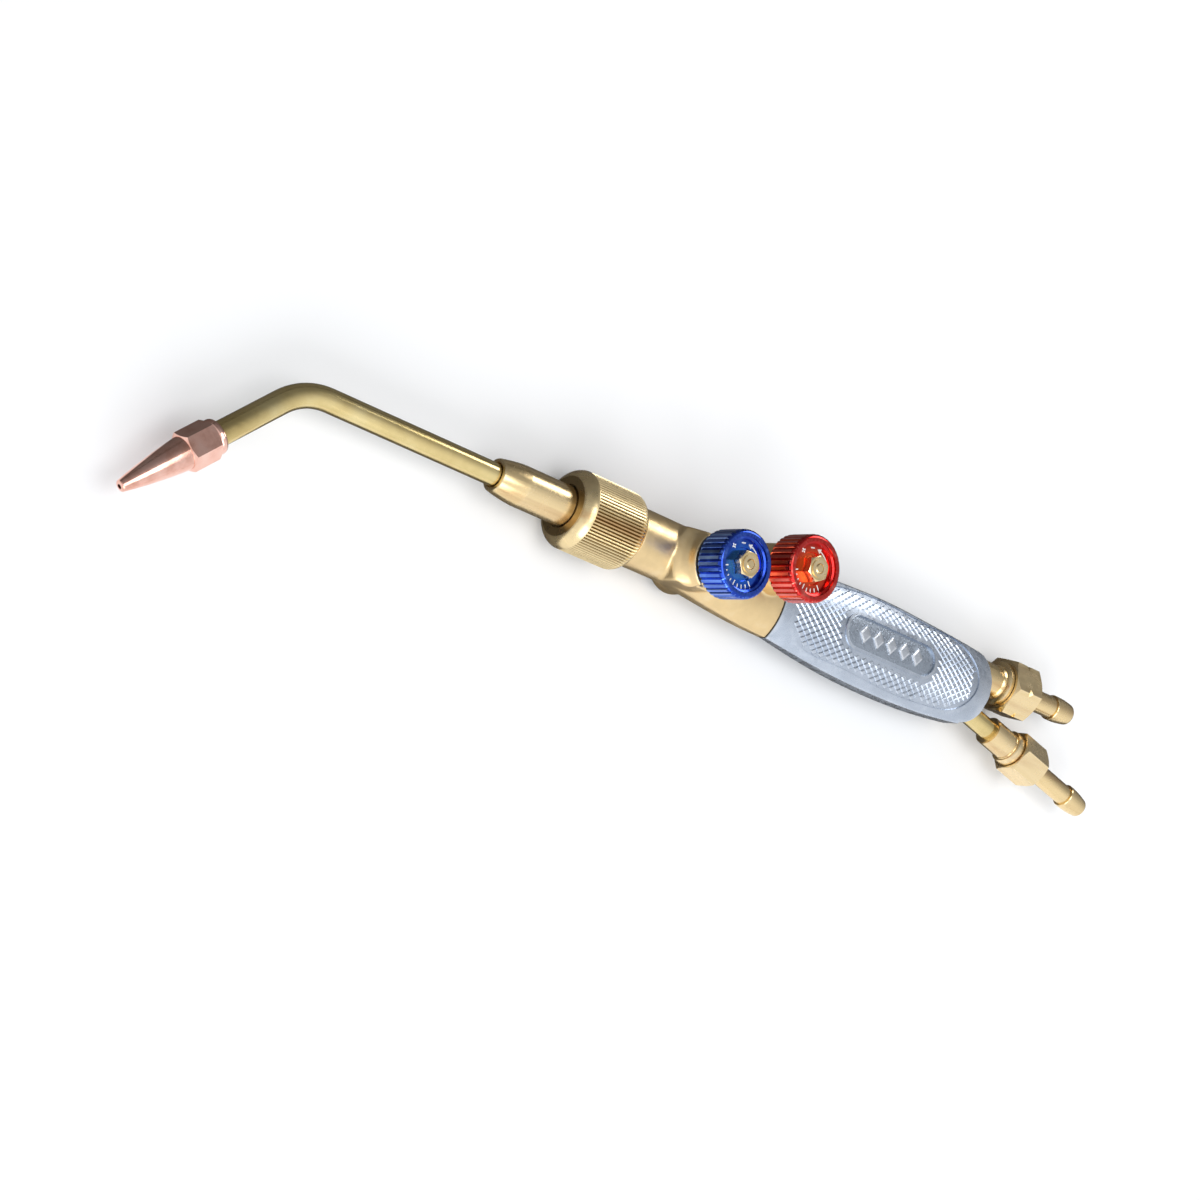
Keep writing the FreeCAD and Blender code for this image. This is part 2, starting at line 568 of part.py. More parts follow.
def handle_shell():
    """Hollow oval handle with a sunk grip field and a framed plate on both broad faces."""
    form = handle_form()
    field = plan_prism(grip_outline()).cut(plan_prism(pill(PLATE_CENTRE, PLATE_LENGTH, PLATE_WIDTH)))
    plate = plan_prism(pill(PLATE_CENTRE, PLATE_LENGTH - 2 * PLATE_RIM, PLATE_WIDTH - 2 * PLATE_RIM))
    skin = form.cut(field.cut(handle_form(GRIP_DEPTH)))
    skin = skin.cut(plate.cut(handle_form(PLATE_DEPTH)))
    skin = skin.common(plan_prism(handle_plan()))
    cavity = handle_form(HANDLE_WALL).common(slab(HANDLE_END_X + HANDLE_END_WALL, BODY_REAR_X + 5))
    holes = [
        cavity,
        turned([(-HANDLE_END_WALL - 1, 0), (-HANDLE_END_WALL - 1, FUEL_END["spigot_radius"] + 0.1),
                (FUEL_END["body_start"] - 0.1, FUEL_END["spigot_radius"] + 0.1),
                (FUEL_END["body_start"] - 0.1, FUEL_END["body_radius"] + 0.1),
                (3, FUEL_END["body_radius"] + 0.1), (3, 0)], FUEL_BASE, FUEL_DIRECTION),
        rod(on_oxygen_line(OXYGEN_EXIT - 9), on_oxygen_line(OXYGEN_EXIT + 4), OXYGEN_TUBE_RADIUS + 0.1),
        turned([(-12, 0), (-12, 3.4), (-8.0, SCREW_HEAD_RADIUS + 0.1), (-6.8, 1.6), (-2, 1.6), (-2, 0)],
               (*HANDLE_SCREW, 0), Z_AXIS),
    ]
    return skin.cut(Part.makeCompound(holes))


def handle_screw():
    """Countersunk screw that fixes the handle to the body's spigot from below."""
    slot_width, slot_depth, head_z = 0.8, 0.7, -8.3
    head = SCREW_HEAD_RADIUS - 0.3
    screw = turned([(head_z, 0), (head_z, head), (head_z + 0.2, head), (head_z + 1.5, 1.5),
                    (-2.6, 1.5), (-2.2, 1.1), (-2.2, 0)],
                   (*HANDLE_SCREW, 0), Z_AXIS)
    slot = Part.makeBox(8, slot_width, slot_depth,
                        Vector(HANDLE_SCREW[0] - 4, HANDLE_SCREW[1] - slot_width / 2, head_z))
    return screw.cut(slot)


def fuel_tube():
    """Straight tube from the fuel valve to the fuel connector."""
    start, end = SPIGOT_END_X + 5.8, HANDLE_END_X - FUEL_END["spigot_start"] - SOCKET_DEPTH + 0.2
    outer = rod((start, FUEL_LINE_Y, 0), (end, FUEL_LINE_Y, 0), FUEL_TUBE_RADIUS)
    return outer.cut(rod((start + 1, FUEL_LINE_Y, 0), (end - 1, FUEL_LINE_Y, 0),
                         FUEL_TUBE_RADIUS - TUBE_WALL))


def bent_rod(start, corner, end, bend_radius, radius):
    """Round rod with one bend: two straight runs joined by a tangent arc."""
    start, corner, end = Vector(*start), Vector(*corner), Vector(*end)
    first, second = (corner - start).normalize(), (end - corner).normalize()
    angle = first.getAngle(second)
    reach = bend_radius * math.tan(angle / 2)
    arc_start, arc_end = corner - first * reach, corner + second * reach
    towards = (second - first).normalize()
    arc_middle = corner + towards * (bend_radius / math.cos(angle / 2) - bend_radius)
    path = Part.Wire([Part.makeLine(start, arc_start),
                      Part.Arc(arc_start, arc_middle, arc_end).toShape(),
                      Part.makeLine(arc_end, end)])
    profile = Part.Wire(Part.makeCircle(radius, start, first))
    return path.makePipeShell([profile], True, False)


def oxygen_tube():
    """Tube from the oxygen valve that turns outwards near the handle's rear."""
    start = (SPIGOT_END_X + 5.8, OXYGEN_LINE_Y, 0)
    corner = (OXYGEN_LINE_BEND_X, OXYGEN_LINE_Y, 0)
    end = on_oxygen_line(OXYGEN_EXIT + OXYGEN_END["spigot_start"] + SOCKET_DEPTH - 0.2)
    outer = bent_rod(start, corner, end, OXYGEN_BEND_RADIUS, OXYGEN_TUBE_RADIUS)
    inner = bent_rod(start, corner, end, OXYGEN_BEND_RADIUS, OXYGEN_TUBE_RADIUS - TUBE_WALL)
    return outer.cut(inner)


# ---- union nut, mixer, neck and tip ----------------------------------------------------------
def union_nut():
    """Knurled union nut: threaded land, shoulder for the mixer collar and ring groove."""
    start, end, r = UNION_NUT_START_X, UNION_NUT_END_X, UNION_NUT_RADIUS
    relief = UNION_THREAD_RADIUS + 0.9
    land_start = BODY_FRONT_X + 1.0
    hole = UNION_NUT_HOLE_RADIUS
    blank = turned([
        (start, 0), (start, r - 2.9), (start + 1.2, r - 0.95, start + 4.0, r),
        (end - 4.4, r), (end - 1.5, r - 1.35, end, UNION_NUT_FACE_RADIUS), (end, 0),
    ])
    plain_front = turned([
        (end - 6.0, 0), (end - 6.0, r - UNION_TOOTH_DEPTH), (end - 4.6, r - UNION_TOOTH_DEPTH),
        (end - 4.4, r + 1), (end + 1, r + 1), (end + 1, 0),
    ])
    knurl = ribbed(r, UNION_TOOTH_DEPTH, UNION_NUT_TEETH, start - 1, end - 4.5)
    groove_low, groove_high = RING_GROOVE_X - 0.1, RING_GROOVE_X + RING_THICKNESS + 0.3
    bore = turned([
        (start - 1, 0), (start - 1, BODY_RADIUS + 0.35), (land_start, BODY_RADIUS + 0.35),
        (land_start, UNION_THREAD_RADIUS + RUNNING_GAP),
        (land_start + UNION_THREAD_LENGTH, UNION_THREAD_RADIUS + RUNNING_GAP),
        (land_start + UNION_THREAD_LENGTH, relief), (UNION_SHOULDER_X, relief),
        (UNION_SHOULDER_X, hole), (groove_low, hole), (groove_low, RING_OUTER_RADIUS + 0.3),
        (groove_high, RING_OUTER_RADIUS + 0.3), (groove_high, hole), (end + 1, hole), (end + 1, 0),
    ])
    return blank.common(knurl.fuse(plain_front)).cut(bore)


def retaining_ring():
    """Split spring ring that ties the union nut to the mixer sleeve along the axis."""
    low = RING_GROOVE_X + 0.1
    ring = turned([(low, RING_INNER_RADIUS), (low, RING_OUTER_RADIUS),
                   (low + RING_THICKNESS, RING_OUTER_RADIUS), (low + RING_THICKNESS, RING_INNER_RADIUS)])
    half = math.radians(RING_SPLIT_DEG / 2)
    reach = RING_OUTER_RADIUS + 2
    gap = Part.Face(Part.makePolygon([
        Vector(low - 1, 0, 0), Vector(low - 1, reach * math.sin(half), -reach * math.cos(half)),
        Vector(low - 1, -reach * math.sin(half), -reach * math.cos(half)), Vector(low - 1, 0, 0),
    ])).extrude(Vector(RING_THICKNESS + 2, 0, 0))
    return ring.cut(gap)


MIXER_REAR_X = 20.0
MIXER_LAND_X = 34.0
INJECTOR_THREAD_RADIUS = 5.0
ORING_X = 39.0
ORING_SECTION = 0.9
INJECTOR_ORING_X = 12.4
INJECTOR_ORING_SECTION = 0.5


def mixer_sleeve():
    """Mixer: shank in the body, collar under the nut, gas throat, tapered front round the neck."""
    shank = SOCKET_RADIUS - RUNNING_GAP
    seat_gap = 0.08
    groove = shank - 2 * ORING_SECTION - 0.02
    ring_low, ring_high = RING_GROOVE_X, RING_GROOVE_X + RING_THICKNESS + 0.2
    collar_low = NOSE_END_X + 1.2
    seat_top = SEAT_MOUTH_RADIUS - seat_gap
    outline = [
        (MIXER_REAR_X, INJECTOR_THREAD_RADIUS), (MIXER_REAR_X, 6.0), (MIXER_LAND_X, 6.0),
        (MIXER_LAND_X, shank), (ORING_X - ORING_SECTION - 0.1, shank),
        (ORING_X - ORING_SECTION - 0.1, groove), (ORING_X + ORING_SECTION + 0.1, groove),
        (ORING_X + ORING_SECTION + 0.1, shank), (NOSE_END_X - seat_top + shank, shank),
        (NOSE_END_X, seat_top), (collar_low, seat_top), (collar_low, COLLAR_RADIUS),
        (UNION_SHOULDER_X - FACE_GAP, COLLAR_RADIUS), (UNION_SHOULDER_X - FACE_GAP, SLEEVE_RADIUS),
        (ring_low, SLEEVE_RADIUS), (ring_low, RING_INNER_RADIUS - 0.15),
        (ring_high, RING_INNER_RADIUS - 0.15), (ring_high, SLEEVE_RADIUS),
        (SLEEVE_TAPER_X, SLEEVE_RADIUS),
        ((SLEEVE_TAPER_X + SLEEVE_END_X) / 2, (SLEEVE_RADIUS + SLEEVE_RIM_RADIUS) / 2 + 0.25,
         SLEEVE_END_X - 0.3, SLEEVE_RIM_RADIUS + 0.1),
        (SLEEVE_END_X, SLEEVE_RIM_RADIUS - 0.2), (SLEEVE_END_X, NECK_RADIUS + 0.55),
        (SLEEVE_END_X - 1.6, NECK_RADIUS + 0.55), (SLEEVE_END_X - 1.6, NECK_RADIUS + 0.05),
        (NECK_START_X, NECK_RADIUS + 0.05), (NECK_START_X, 3.1), (52.0, 1.6), (38.0, 1.6),
        (36.0, 4.0), (27.5, 4.0), (27.5, INJECTOR_THREAD_RADIUS),
    ]
    sleeve = turned(outline)
    gas_hole_x, gas_hole_radius, gas_holes = 30.5, 0.9, 6
    drills = []
    for k in range(gas_holes):
        angle = 2 * math.pi * k / gas_holes
        out = (gas_hole_x, 9 * math.sin(angle), 9 * math.cos(angle))
        drills.append(rod((gas_hole_x, 0, 0), out, gas_hole_radius))
    return sleeve.cut(Part.makeCompound(drills))


def injector():
    """Oxygen jet screwed into the mixer's rear, its nose sealed in the body's pocket."""
    nose = INJECTOR_POCKET_RADIUS - RUNNING_GAP
    groove = nose - 2 * INJECTOR_ORING_SECTION - 0.02
    low = INJECTOR_ORING_X - INJECTOR_ORING_SECTION - 0.05
    high = INJECTOR_ORING_X + INJECTOR_ORING_SECTION + 0.05
    return turned([
        (INJECTOR_POCKET_X + 0.6, 1.1), (INJECTOR_POCKET_X + 0.6, nose), (low, nose), (low, groove),
        (high, groove), (high, nose), (16.0, nose), (17.0, 4.4), (19.4, 4.4),
        (19.4, INJECTOR_THREAD_RADIUS - 0.05), (26.8, INJECTOR_THREAD_RADIUS - 0.05), (27.4, 2.4),
        (31.0, 2.4), (35.0, 1.0), (35.0, 0.45), (31.0, 0.45), (29.0, 1.1),
    ])


def o_ring(station, section, outer_radius):
    """Round-section sealing ring whose outside just clears its bore."""
    centre = outer_radius - section
    return Part.makeTorus(centre, section, Vector(station, 0, 0), X_AXIS)


TIP_DIRECTION = (math.cos(math.radians(BEND_DEG)), math.sin(math.radians(BEND_DEG)), 0)
TIP_LENGTH = TIP_COLLAR_LENGTH + TIP_HEX_LENGTH + TIP_CONE_LENGTH
TIP_START = TIP_REACH - TIP_LENGTH


def on_tip_line(distance):
    """Point on the neck's outer run, at a distance from the bend's corner."""
    return (BEND_X + distance * TIP_DIRECTION[0], distance * TIP_DIRECTION[1], 0)


def neck_tube():
    """Bent tube between mixer and tip."""
    start, corner = (NECK_START_X + 0.1, 0, 0), (BEND_X, 0, 0)
    end = on_tip_line(TIP_START + TIP_SOCKET_DEPTH - 0.2)
    outer = bent_rod(start, corner, end, BEND_RADIUS, NECK_RADIUS)
    return outer.cut(bent_rod(start, corner, end, BEND_RADIUS, NECK_BORE_RADIUS))


def flame_tip():
    """Copper tip: rounded collar, hexagon for the spanner and a long cone to the orifice."""
    collar_end = TIP_START + TIP_COLLAR_LENGTH
    hex_end = collar_end + TIP_HEX_LENGTH
    base = (BEND_X, 0, 0)
    hex_part = hexagon(TIP_HEX_FLATS, collar_end, hex_end, base, TIP_DIRECTION, TIP_HEX_TURN_DEG,
                       chamfer_radius=6.2)
    cone_radius, end_radius = 6.05, 2.2
    turning = turned([
        (TIP_START, 0), (TIP_START, 5.6), (TIP_START + 0.4, 6.2, TIP_START + 1.3, 6.45),
        (collar_end - 0.5, 6.3), (collar_end, 6.0), (hex_end - 1.0, 6.0), (hex_end, cone_radius),
        ((hex_end + TIP_REACH) / 2, (cone_radius + end_radius) / 2 + 0.35, TIP_REACH - 0.7, end_radius),
        (TIP_REACH - 0.2, end_radius - 0.3, TIP_REACH, end_radius - 0.9), (TIP_REACH, 0),
    ], base, TIP_DIRECTION)
    socket_end = TIP_START + TIP_SOCKET_DEPTH
    hole = turned([
        (TIP_START - 1, 0), (TIP_START - 1, NECK_RADIUS + 0.05), (socket_end, NECK_RADIUS + 0.05),
        (socket_end, 3.2), (socket_end + 3, 3.2), (TIP_REACH - 9, TIP_ORIFICE_RADIUS),
        (TIP_REACH + 1, TIP_ORIFICE_RADIUS), (TIP_REACH + 1, 0),
    ], base, TIP_DIRECTION)
    return hex_part.fuse(turning).cut(hole)


# ---- all sub-parts ---------------------------------------------------------------------------
def build_nodes():
    """Every sub-part by node name, in the construction frame."""
    nodes = {
        "valve_body": valve_body(),
        "handle_shell": handle_shell(),
        "handle_screw": handle_screw(),
        "fuel_tube": fuel_tube(),
        "oxygen_tube": oxygen_tube(),
        "union_nut": union_nut(),
        "retaining_ring": retaining_ring(),
        "mixer_sleeve": mixer_sleeve(),
        "injector": injector(),
        "mixer_o_ring": o_ring(ORING_X, ORING_SECTION, SOCKET_RADIUS - RUNNING_GAP + 0.02),
        "injector_o_ring": o_ring(INJECTOR_ORING_X, INJECTOR_ORING_SECTION,
                                  INJECTOR_POCKET_RADIUS - RUNNING_GAP + 0.02),
        "neck_tube": neck_tube(),
        "flame_tip": flame_tip(),
    }
    for gas, end in (("fuel", FUEL_END), ("oxygen", OXYGEN_END)):
        nodes[gas + "_connector"] = connector(end)
        nodes[gas + "_hose_nut"] = hose_nut(end)
        nodes[gas + "_hose_tail"] = hose_tail(end)
    for gas, valve, nut_turn in (("fuel", FUEL_VALVE, 30.0), ("oxygen", OXYGEN_VALVE, 0.0)):
        nodes[gas + "_needle"] = valve_needle(valve)
        nodes[gas + "_spindle"] = valve_spindle(valve)
        nodes[gas + "_packing"] = gland_packing(valve)
        nodes[gas + "_gland_nut"] = gland_nut(valve)
        nodes[gas + "_knob"] = knob(valve)
        nodes[gas + "_knob_nut"] = knob_nut(valve, nut_turn)
    return nodes


def frame_shift(nodes):
    """Shift that brings the middle of the whole torch's underside to the origin."""
    box = FreeCAD.BoundBox()
    for shape in nodes.values():
        box.add(shape.optimalBoundingBox(False))
    return Vector(-box.Center.x, -box.Center.y, -box.ZMin)


NODES = build_nodes()
SHIFT = frame_shift(NODES)

os.makedirs("parts", exist_ok=True)
for name, shape in NODES.items():
    shape.translated(SHIFT).exportStep("parts/" + name + ".step")
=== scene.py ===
import json
import math

import bmesh
import bpy
from mathutils import Matrix, Vector
from mathutils.bvhtree import BVHTree


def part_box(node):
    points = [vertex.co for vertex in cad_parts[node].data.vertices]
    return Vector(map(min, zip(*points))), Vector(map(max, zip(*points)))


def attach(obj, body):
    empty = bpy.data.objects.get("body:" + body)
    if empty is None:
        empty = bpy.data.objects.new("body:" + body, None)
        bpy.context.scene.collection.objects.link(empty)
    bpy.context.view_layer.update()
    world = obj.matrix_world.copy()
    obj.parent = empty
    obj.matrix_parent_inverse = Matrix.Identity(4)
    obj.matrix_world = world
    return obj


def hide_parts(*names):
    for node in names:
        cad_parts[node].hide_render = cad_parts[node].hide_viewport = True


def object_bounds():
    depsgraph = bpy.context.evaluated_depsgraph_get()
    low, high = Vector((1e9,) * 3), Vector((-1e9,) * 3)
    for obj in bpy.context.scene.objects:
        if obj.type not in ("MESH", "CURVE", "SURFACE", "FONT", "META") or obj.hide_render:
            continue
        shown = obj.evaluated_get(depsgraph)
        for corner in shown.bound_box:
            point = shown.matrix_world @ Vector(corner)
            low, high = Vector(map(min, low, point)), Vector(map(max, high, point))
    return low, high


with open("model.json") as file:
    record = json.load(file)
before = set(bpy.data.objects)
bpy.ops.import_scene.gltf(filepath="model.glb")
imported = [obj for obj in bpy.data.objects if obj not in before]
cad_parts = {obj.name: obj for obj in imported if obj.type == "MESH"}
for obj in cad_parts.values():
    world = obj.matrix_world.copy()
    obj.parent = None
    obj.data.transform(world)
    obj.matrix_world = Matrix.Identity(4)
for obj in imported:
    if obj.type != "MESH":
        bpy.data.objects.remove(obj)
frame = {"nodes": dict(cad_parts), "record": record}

# Hand torch for lampwork. The row frame has +X towards the flame, +Z along the valve spindles and
# +Y on the side that the neck bends to. Lengths are in metres; MM turns millimetres into metres.
# Noise scales are features per metre, since the textures use object coordinates.
MM = 0.001
CAD_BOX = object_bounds()
SCENE = bpy.context.scene
NODES = frame["nodes"]


# ---- places taken from the frame --------------------------------------------------------------
def centre_of(node):
    low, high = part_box(node)
    return (Vector(low) + Vector(high)) / 2


def low_of(node):
    return Vector(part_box(node)[0])


def high_of(node):
    return Vector(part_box(node)[1])


AXIS = centre_of("union_nut")                    # the torch's long axis runs through this point
OXYGEN_VALVE = centre_of("oxygen_knob")
FUEL_VALVE = centre_of("fuel_knob")
ORIGIN = Vector((OXYGEN_VALVE.x, AXIS.y, AXIS.z))  # where the oxygen valve's plane meets the axis
OXYGEN_VALVE_FOOT = Vector((OXYGEN_VALVE.x, OXYGEN_VALVE.y, AXIS.z))

NUT_REAR, NUT_FRONT = low_of("union_nut").x, high_of("union_nut").x
NUT_RADIUS = (high_of("union_nut").z - low_of("union_nut").z) / 2
HANDLE_LOW, HANDLE_HIGH = low_of("handle_shell"), high_of("handle_shell")
PLATE_CENTRE = ORIGIN + Vector((-105.0, -0.3, 0)) * MM
PLATE_LENGTH = 53.0 * MM
PLATE_WIDTH = 15.4 * MM
PLATE_RIM = 1.3 * MM


# ---- node material helpers --------------------------------------------------------------------
class Shader:
    """A material with one Principled shader and short calls for the nodes that feed it."""

    def __init__(self, name, base, roughness, metallic=1.0):
        self.material = bpy.data.materials.new(name)
        self.material.use_nodes = True
        self.tree = self.material.node_tree
        self.bsdf = self.tree.nodes["Principled BSDF"]
        self.bsdf.inputs["Base Color"].default_value = (*base, 1)
        self.bsdf.inputs["Roughness"].default_value = roughness
        self.bsdf.inputs["Metallic"].default_value = metallic
        self.coordinates = self.tree.nodes.new("ShaderNodeTexCoord").outputs["Object"]

    def node(self, kind, **settings):
        made = self.tree.nodes.new(kind)
        for key, value in settings.items():
            setattr(made, key, value)
        return made

    def link(self, source, target):
        self.tree.links.new(source, target)

    def stretched(self, scale):
        mapping = self.node("ShaderNodeMapping")
        mapping.inputs["Scale"].default_value = scale
        self.link(self.coordinates, mapping.inputs["Vector"])
        return mapping.outputs["Vector"]

    def noise(self, scale, detail=3.0, roughness=0.55, vector=None):
        made = self.node("ShaderNodeTexNoise")
        made.inputs["Scale"].default_value = scale
        made.inputs["Detail"].default_value = detail
        made.inputs["Roughness"].default_value = roughness
        self.link(vector or self.coordinates, made.inputs["Vector"])
        return made.outputs["Fac"]

    def spread(self, value, low, high, low_in=0.3, high_in=0.7):
        made = self.node("ShaderNodeMapRange")
        for socket, number in (("From Min", low_in), ("From Max", high_in), ("To Min", low),
                               ("To Max", high)):
            made.inputs[socket].default_value = number
        self.link(value, made.inputs["Value"])
        return made.outputs["Result"]

    def ramp(self, value, stops):
        made = self.node("ShaderNodeValToRGB")
        ramp = made.color_ramp
        while len(ramp.elements) < len(stops):
            ramp.elements.new(0.5)
        for element, (place, colour) in zip(ramp.elements, stops):
            element.position = place
            element.color = (*colour, 1)
        self.link(value, made.inputs["Fac"])
        return made.outputs["Color"]

    def mix(self, factor, first, second):
        made = self.node("ShaderNodeMix", data_type="RGBA")
        for socket, source in ((made.inputs[0], factor), (made.inputs[6], first),
                               (made.inputs[7], second)):
            if isinstance(source, (int, float)):
                socket.default_value = source
            elif isinstance(source, tuple):
                socket.default_value = (*source, 1)
            else:
                self.link(source, socket)
        return made.outputs[2]

    def bump(self, height, strength, distance, below=None):
        made = self.node("ShaderNodeBump")
        made.inputs["Strength"].default_value = strength
        made.inputs["Distance"].default_value = distance
        self.link(height, made.inputs["Height"])
        if below is not None:
            self.link(below, made.inputs["Normal"])
        return made.outputs["Normal"]

    def colour(self, source):
        self.link(source, self.bsdf.inputs["Base Color"])

    def roughness(self, source):
        self.link(source, self.bsdf.inputs["Roughness"])

    def normal(self, source):
        self.link(source, self.bsdf.inputs["Normal"])

    def pill(self, centre, half_straight, radius):
        """1 inside a pill-shaped outline that lies along X, seen from above, 0 outside."""
        moved = self.node("ShaderNodeVectorMath", operation="SUBTRACT")
        self.link(self.coordinates, moved.inputs[0])
        moved.inputs[1].default_value = centre
        parts = self.node("ShaderNodeSeparateXYZ")
        self.link(moved.outputs[0], parts.inputs[0])
        end = self.node("ShaderNodeClamp")
        end.inputs["Min"].default_value = -half_straight
        end.inputs["Max"].default_value = half_straight
        self.link(parts.outputs["X"], end.inputs["Value"])
        nearest = self.node("ShaderNodeCombineXYZ")
        self.link(end.outputs[0], nearest.inputs["X"])
        self.link(parts.outputs["Z"], nearest.inputs["Z"])
        gap = self.node("ShaderNodeVectorMath", operation="DISTANCE")
        self.link(moved.outputs[0], gap.inputs[0])
        self.link(nearest.outputs[0], gap.inputs[1])
        return self.spread(gap.outputs["Value"], 1.0, 0.0, radius - 0.2 * MM, radius + 0.1 * MM)

    def line_distance(self, centre, across):
        """Distance from the line through centre; across is 1 on the axes that it doesn't follow."""
        flat = self.node("ShaderNodeVectorMath", operation="MULTIPLY")
        self.link(self.coordinates, flat.inputs[0])
        flat.inputs[1].default_value = across
        gap = self.node("ShaderNodeVectorMath", operation="DISTANCE")
        self.link(flat.outputs[0], gap.inputs[0])
        gap.inputs[1].default_value = centre * Vector(across)
        return gap.outputs["Value"]

    def along(self, low, high):
        """0 where x is below low, 1 where it is above high."""
        parts = self.node("ShaderNodeSeparateXYZ")
        self.link(self.coordinates, parts.inputs[0])
        return self.spread(parts.outputs["X"], 0.0, 1.0, low, high)

    def times(self, first, second):
        made = self.node("ShaderNodeMath", operation="MULTIPLY")
        self.link(first, made.inputs[0])
        self.link(second, made.inputs[1])
        return made.outputs[0]

    def convex_edges(self, amount):
        """amount on convex edges, 0 elsewhere, from how pointed the surface is."""
        pointed = self.node("ShaderNodeNewGeometry").outputs["Pointiness"]
        return self.spread(pointed, 0.0, amount, 0.52, 0.60)


def tinted(colour, factor):
    return tuple(min(1.0, c * factor) for c in colour)


def forged_brass():
    """Shot-blasted forging: sandy, satin, with fine pits and a clouded, partly paler tone."""
    base = (0.83, 0.62, 0.33)
    m = Shader("forged_brass", base, 0.36)
    cloud = m.noise(90, 4)
    colour = m.ramp(cloud, [(0.35, tinted(base, 0.90)), (0.55, base), (0.75, (0.88, 0.70, 0.43))])
    m.colour(colour)
    m.roughness(m.spread(m.noise(260, 3), 0.28, 0.40))
    grain = m.bump(m.noise(2600, 2, 0.7), 0.16, 0.12 * MM)
    m.normal(m.bump(m.noise(520, 3), 0.20, 0.3 * MM, grain))
    return m.material


def satin_brass(m, base, roughness):
    """Machined brass: soft lengthwise bands of painted reflection, very faint turning rings, paler
    edges.
    """
    # lengthwise streaks of painted reflection, from dark brown to paler than the base
    bands = m.noise(170, 3, 0.5, m.stretched((0.06, 1, 1)))
    colour = m.ramp(bands, [(0.30, (0.66, 0.44, 0.22)), (0.50, base), (0.72, tinted(base, 1.08))])
    rings = m.noise(1500, 2, 0.5, m.stretched((1, 0.05, 0.05)))
    m.roughness(m.spread(m.noise(240, 3), roughness - 0.04, roughness + 0.06))
    m.normal(m.bump(rings, 0.012, 0.03 * MM))
    return m.mix(m.convex_edges(0.6), colour, (0.95, 0.78, 0.50))


def turned_brass():
    base = (0.84, 0.64, 0.34)
    m = Shader("turned_brass", base, 0.24)
    m.colour(satin_brass(m, base, 0.24))
    return m.material


def knurled_brass():
    """The union nut: satin brass, darker in the valleys of the knurl, painted shade on the front
    face.
    """
    base = (0.86, 0.68, 0.38)
    m = Shader("knurled_brass", base, 0.28)
    colour = satin_brass(m, base, 0.28)
    from_axis = m.line_distance(AXIS, (0, 1, 1))
    valley = m.spread(from_axis, 1.0, 0.0, NUT_RADIUS - 0.50 * MM, NUT_RADIUS - 0.08 * MM)
    behind_front = m.along(NUT_FRONT - 4.7 * MM, NUT_FRONT - 4.9 * MM)
    ahead_of_rear = m.along(NUT_REAR + 3.2 * MM, NUT_REAR + 4.4 * MM)
    # darker in the valleys of the knurl, away from the nut's two ends
    valley_dark = m.times(m.times(valley, behind_front), ahead_of_rear)
    colour = m.mix(valley_dark, colour, (0.20, 0.13, 0.05))
    # painted shade on the nut's front face, inside 11.6 to 11.9 mm from the axis
    face = m.times(m.along(NUT_FRONT - 0.5 * MM, NUT_FRONT - 0.1 * MM),
                   m.spread(from_axis, 1.0, 0.0, 11.6 * MM, 11.9 * MM))
    m.colour(m.mix(face, colour, (0.42, 0.30, 0.14)))
    return m.material


def drawn_brass():
    """Drawn tube: bright, slightly green-yellow, long faint draw lines."""
    base = (0.78, 0.62, 0.29)
    m = Shader("drawn_brass", base, 0.20)
    cloud = m.noise(60, 4)
    m.colour(m.ramp(cloud, [(0.30, (0.68, 0.52, 0.22)), (0.52, base), (0.75, (0.84, 0.70, 0.37))]))
    lines = m.noise(900, 2, 0.6, m.stretched((0.04, 1, 1)))
    m.roughness(m.spread(lines, 0.14, 0.26))
    fine = m.bump(m.noise(1800, 2), 0.04, 0.1 * MM)
    m.normal(m.bump(lines, 0.07, 0.1 * MM, fine))
    return m.material


def copper():
    """Polished copper of the flame tip with heat-warmed patches and a fine grain."""
    base = (0.90, 0.53, 0.43)
    m = Shader("copper", base, 0.17)
    cloud = m.noise(120, 3)
    m.colour(m.ramp(cloud, [(0.30, (0.74, 0.38, 0.28)), (0.50, base), (0.75, (0.93, 0.62, 0.52))]))
    grain = m.noise(1500, 2, 0.6)
    m.roughness(m.spread(grain, 0.12, 0.24))
    m.normal(m.bump(grain, 0.05, 0.08 * MM))
    return m.material


def cast_aluminium():
    """Polished casting: bluish satin silver, darker and rougher inside the plate, painted shadow
    along the front seam.
    """
    base = (0.52, 0.575, 0.66)
    m = Shader("cast_aluminium", base, 0.27)
    colour = m.ramp(m.noise(110, 4), [(0.30, tinted(base, 0.92)), (0.52, base),
                                      (0.76, (0.60, 0.65, 0.73))])
    colour = m.mix(m.convex_edges(0.5), colour, (0.80, 0.84, 0.90))
    plate = m.pill(PLATE_CENTRE, (PLATE_LENGTH - PLATE_WIDTH) / 2, PLATE_WIDTH / 2 - PLATE_RIM)
    colour = m.mix(plate, colour, (0.40, 0.45, 0.52))
    # painted shadow in the gap where the handle's front end meets the brass body
    seam = m.along(HANDLE_HIGH.x - 0.7 * MM, HANDLE_HIGH.x - 0.3 * MM)
    m.colour(m.mix(seam, colour, (0.09, 0.08, 0.06)))
    m.roughness(m.spread(m.noise(420, 3), 0.22, 0.34))
    grain = m.bump(m.noise(3200, 2, 0.7), 0.08, 0.08 * MM)
    m.normal(m.bump(m.times(m.noise(1100, 3, 0.7), plate), 0.5, 0.4 * MM, grain))
    return m.material


